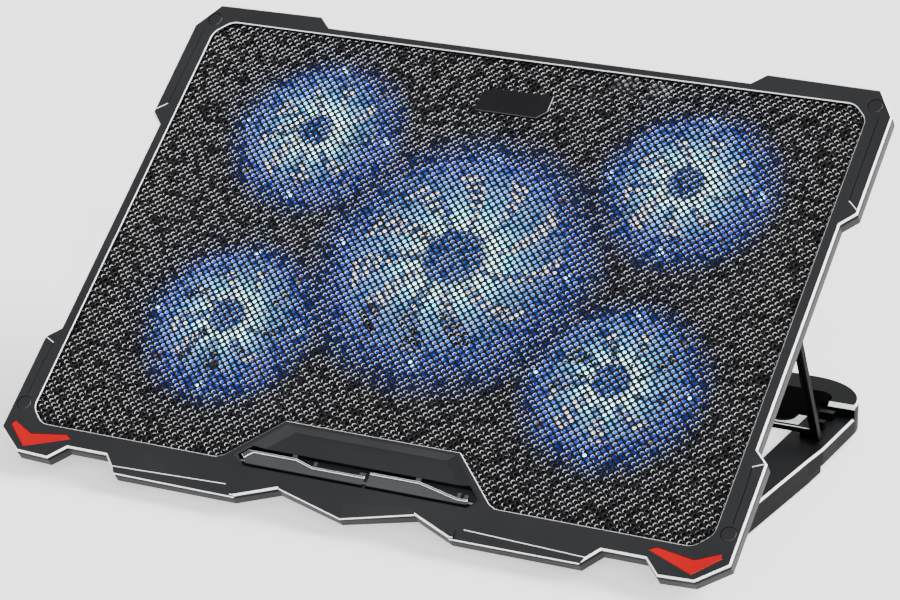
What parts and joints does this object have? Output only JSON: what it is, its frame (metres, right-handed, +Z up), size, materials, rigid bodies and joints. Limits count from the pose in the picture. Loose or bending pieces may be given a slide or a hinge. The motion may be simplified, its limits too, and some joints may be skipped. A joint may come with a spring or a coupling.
{
  "type": "laptop cooling pad",
  "caption": "Slanted cooling pad for a laptop: angular bezel, flat metal mesh over lit fans, flip-up front stoppers, red corner trim, and a folding notched stand with a U prop.",
  "frame": {"origin": "on the table, below the middle of the object's box at rest", "axes": "+X to the user's right, +Y to the back, +Z up"},
  "size_m": [0.41, 0.264, 0.1956],
  "materials": {
    "badge_plastic": "gloss",
    "bezel_plastic": "satin moulded",
    "cap_plastic": "satin",
    "circuit_board": "black solder mask",
    "fan_plastic": "moulded",
    "foot_rubber": "matte",
    "led_lens": "moulded lens",
    "mesh_metal": "black powder coat",
    "red_plastic": "gloss",
    "rotor_plastic": "tinted, lit by the lamps",
    "shell_plastic": "fine texture",
    "socket_metal": "plated",
    "stand_plastic": "satin moulded",
    "steel": "turned",
    "stopper_plastic": "polished",
    "switch_plastic": "moulded",
    "tongue_plastic": "moulded"
  },
  "bodies": {
    "stand": {"stand_base": "stand_plastic", "hinge_pins": "steel", "rubber_feet": "foot_rubber"},
    "pad": {"top_frame": "bezel_plastic", "bottom_shell": "shell_plastic", "mesh_panel": "mesh_metal", "badge_plate": "badge_plastic", "red_accent_left": "red_plastic", "red_accent_right": "red_plastic", "corner_caps": "cap_plastic", "stopper_pins": "steel", "fan_leds": "led_lens", "fan_screws": "steel", "hub_board": "circuit_board", "board_screws": "steel", "usb_socket_left": "socket_metal", "usb_socket_right": "socket_metal", "usb_tongues": "tongue_plastic", "rocker_case": "shell_plastic", "housing_screws": "steel", "prop_pins": "steel", "fan_frame_front_left": "fan_plastic", "fan_frame_front_right": "fan_plastic", "fan_frame_rear_left": "fan_plastic", "fan_frame_rear_right": "fan_plastic", "fan_frame_center": "fan_plastic"},
    "prop": {"prop_bracket": "stand_plastic"},
    "stopper_flap_left": {"stopper_left": "stopper_plastic"},
    "stopper_flap_right": {"stopper_right": "stopper_plastic"},
    "speed_switch": {"speed_rocker": "switch_plastic"},
    "light_switch": {"light_button": "switch_plastic"},
    "rotor_front_left": {"fan_rotor_front_left": "rotor_plastic"},
    "rotor_front_right": {"fan_rotor_front_right": "rotor_plastic"},
    "rotor_rear_left": {"fan_rotor_rear_left": "rotor_plastic"},
    "rotor_rear_right": {"fan_rotor_rear_right": "rotor_plastic"},
    "rotor_center": {"fan_rotor_center": "rotor_plastic"}
  },
  "joints": [
    {"name": "pad_tilt", "type": "hinge", "parent": "stand", "child": "pad", "pos_m": [0, -0.094, 0.0095], "axis": [1, 0, 0], "range_deg": [-28, 4]},
    {"name": "prop_swing", "type": "hinge", "parent": "pad", "child": "prop", "pos_m": [0, 0.0089, 0.11007], "axis": [1, 0, 0], "range_deg": [-13.84, 96.88]},
    {"name": "fan_spin_front_left", "type": "hinge", "parent": "pad", "child": "rotor_front_left", "pos_m": [-0.11, -0.04415, 0.06914], "axis": [0, -0.6157, 0.788], "continuous": true},
    {"name": "fan_spin_front_right", "type": "hinge", "parent": "pad", "child": "rotor_front_right", "pos_m": [0.11, -0.04415, 0.06914], "axis": [0, -0.6157, 0.788], "continuous": true},
    {"name": "fan_spin_rear_left", "type": "hinge", "parent": "pad", "child": "rotor_rear_left", "pos_m": [-0.108, 0.05278, 0.14486], "axis": [0, -0.6157, 0.788], "continuous": true},
    {"name": "fan_spin_rear_right", "type": "hinge", "parent": "pad", "child": "rotor_rear_right", "pos_m": [0.108, 0.05278, 0.14486], "axis": [0, -0.6157, 0.788], "continuous": true},
    {"name": "fan_spin_center", "type": "hinge", "parent": "pad", "child": "rotor_center", "pos_m": [0, 0.00077, 0.10423], "axis": [0, -0.6157, 0.788], "continuous": true},
    {"name": "stopper_flip_left", "type": "hinge", "parent": "pad", "child": "stopper_flap_left", "pos_m": [0, -0.11372, 0.02321], "axis": [1, 0, 0], "range_deg": [0, 90]},
    {"name": "stopper_flip_right", "type": "hinge", "parent": "pad", "child": "stopper_flap_right", "pos_m": [0, -0.11372, 0.02321], "axis": [1, 0, 0], "range_deg": [0, 90]},
    {"name": "rocker_tilt", "type": "hinge", "parent": "pad", "child": "speed_switch", "pos_m": [0.098, 0.10121, 0.18422], "axis": [0, -0.6157, 0.788], "range_deg": [-6, 6]},
    {"name": "button_press", "type": "slide", "parent": "pad", "child": "light_switch", "axis": [0, -0.788, -0.6157], "range_m": [0, 0.001], "stiffness_N_per_m": 400, "springref_m": -0.001}
  ],
  "couplings": [
    {"joint": "prop_swing", "follows": "pad_tilt", "ratio": -3.46}
  ]
}
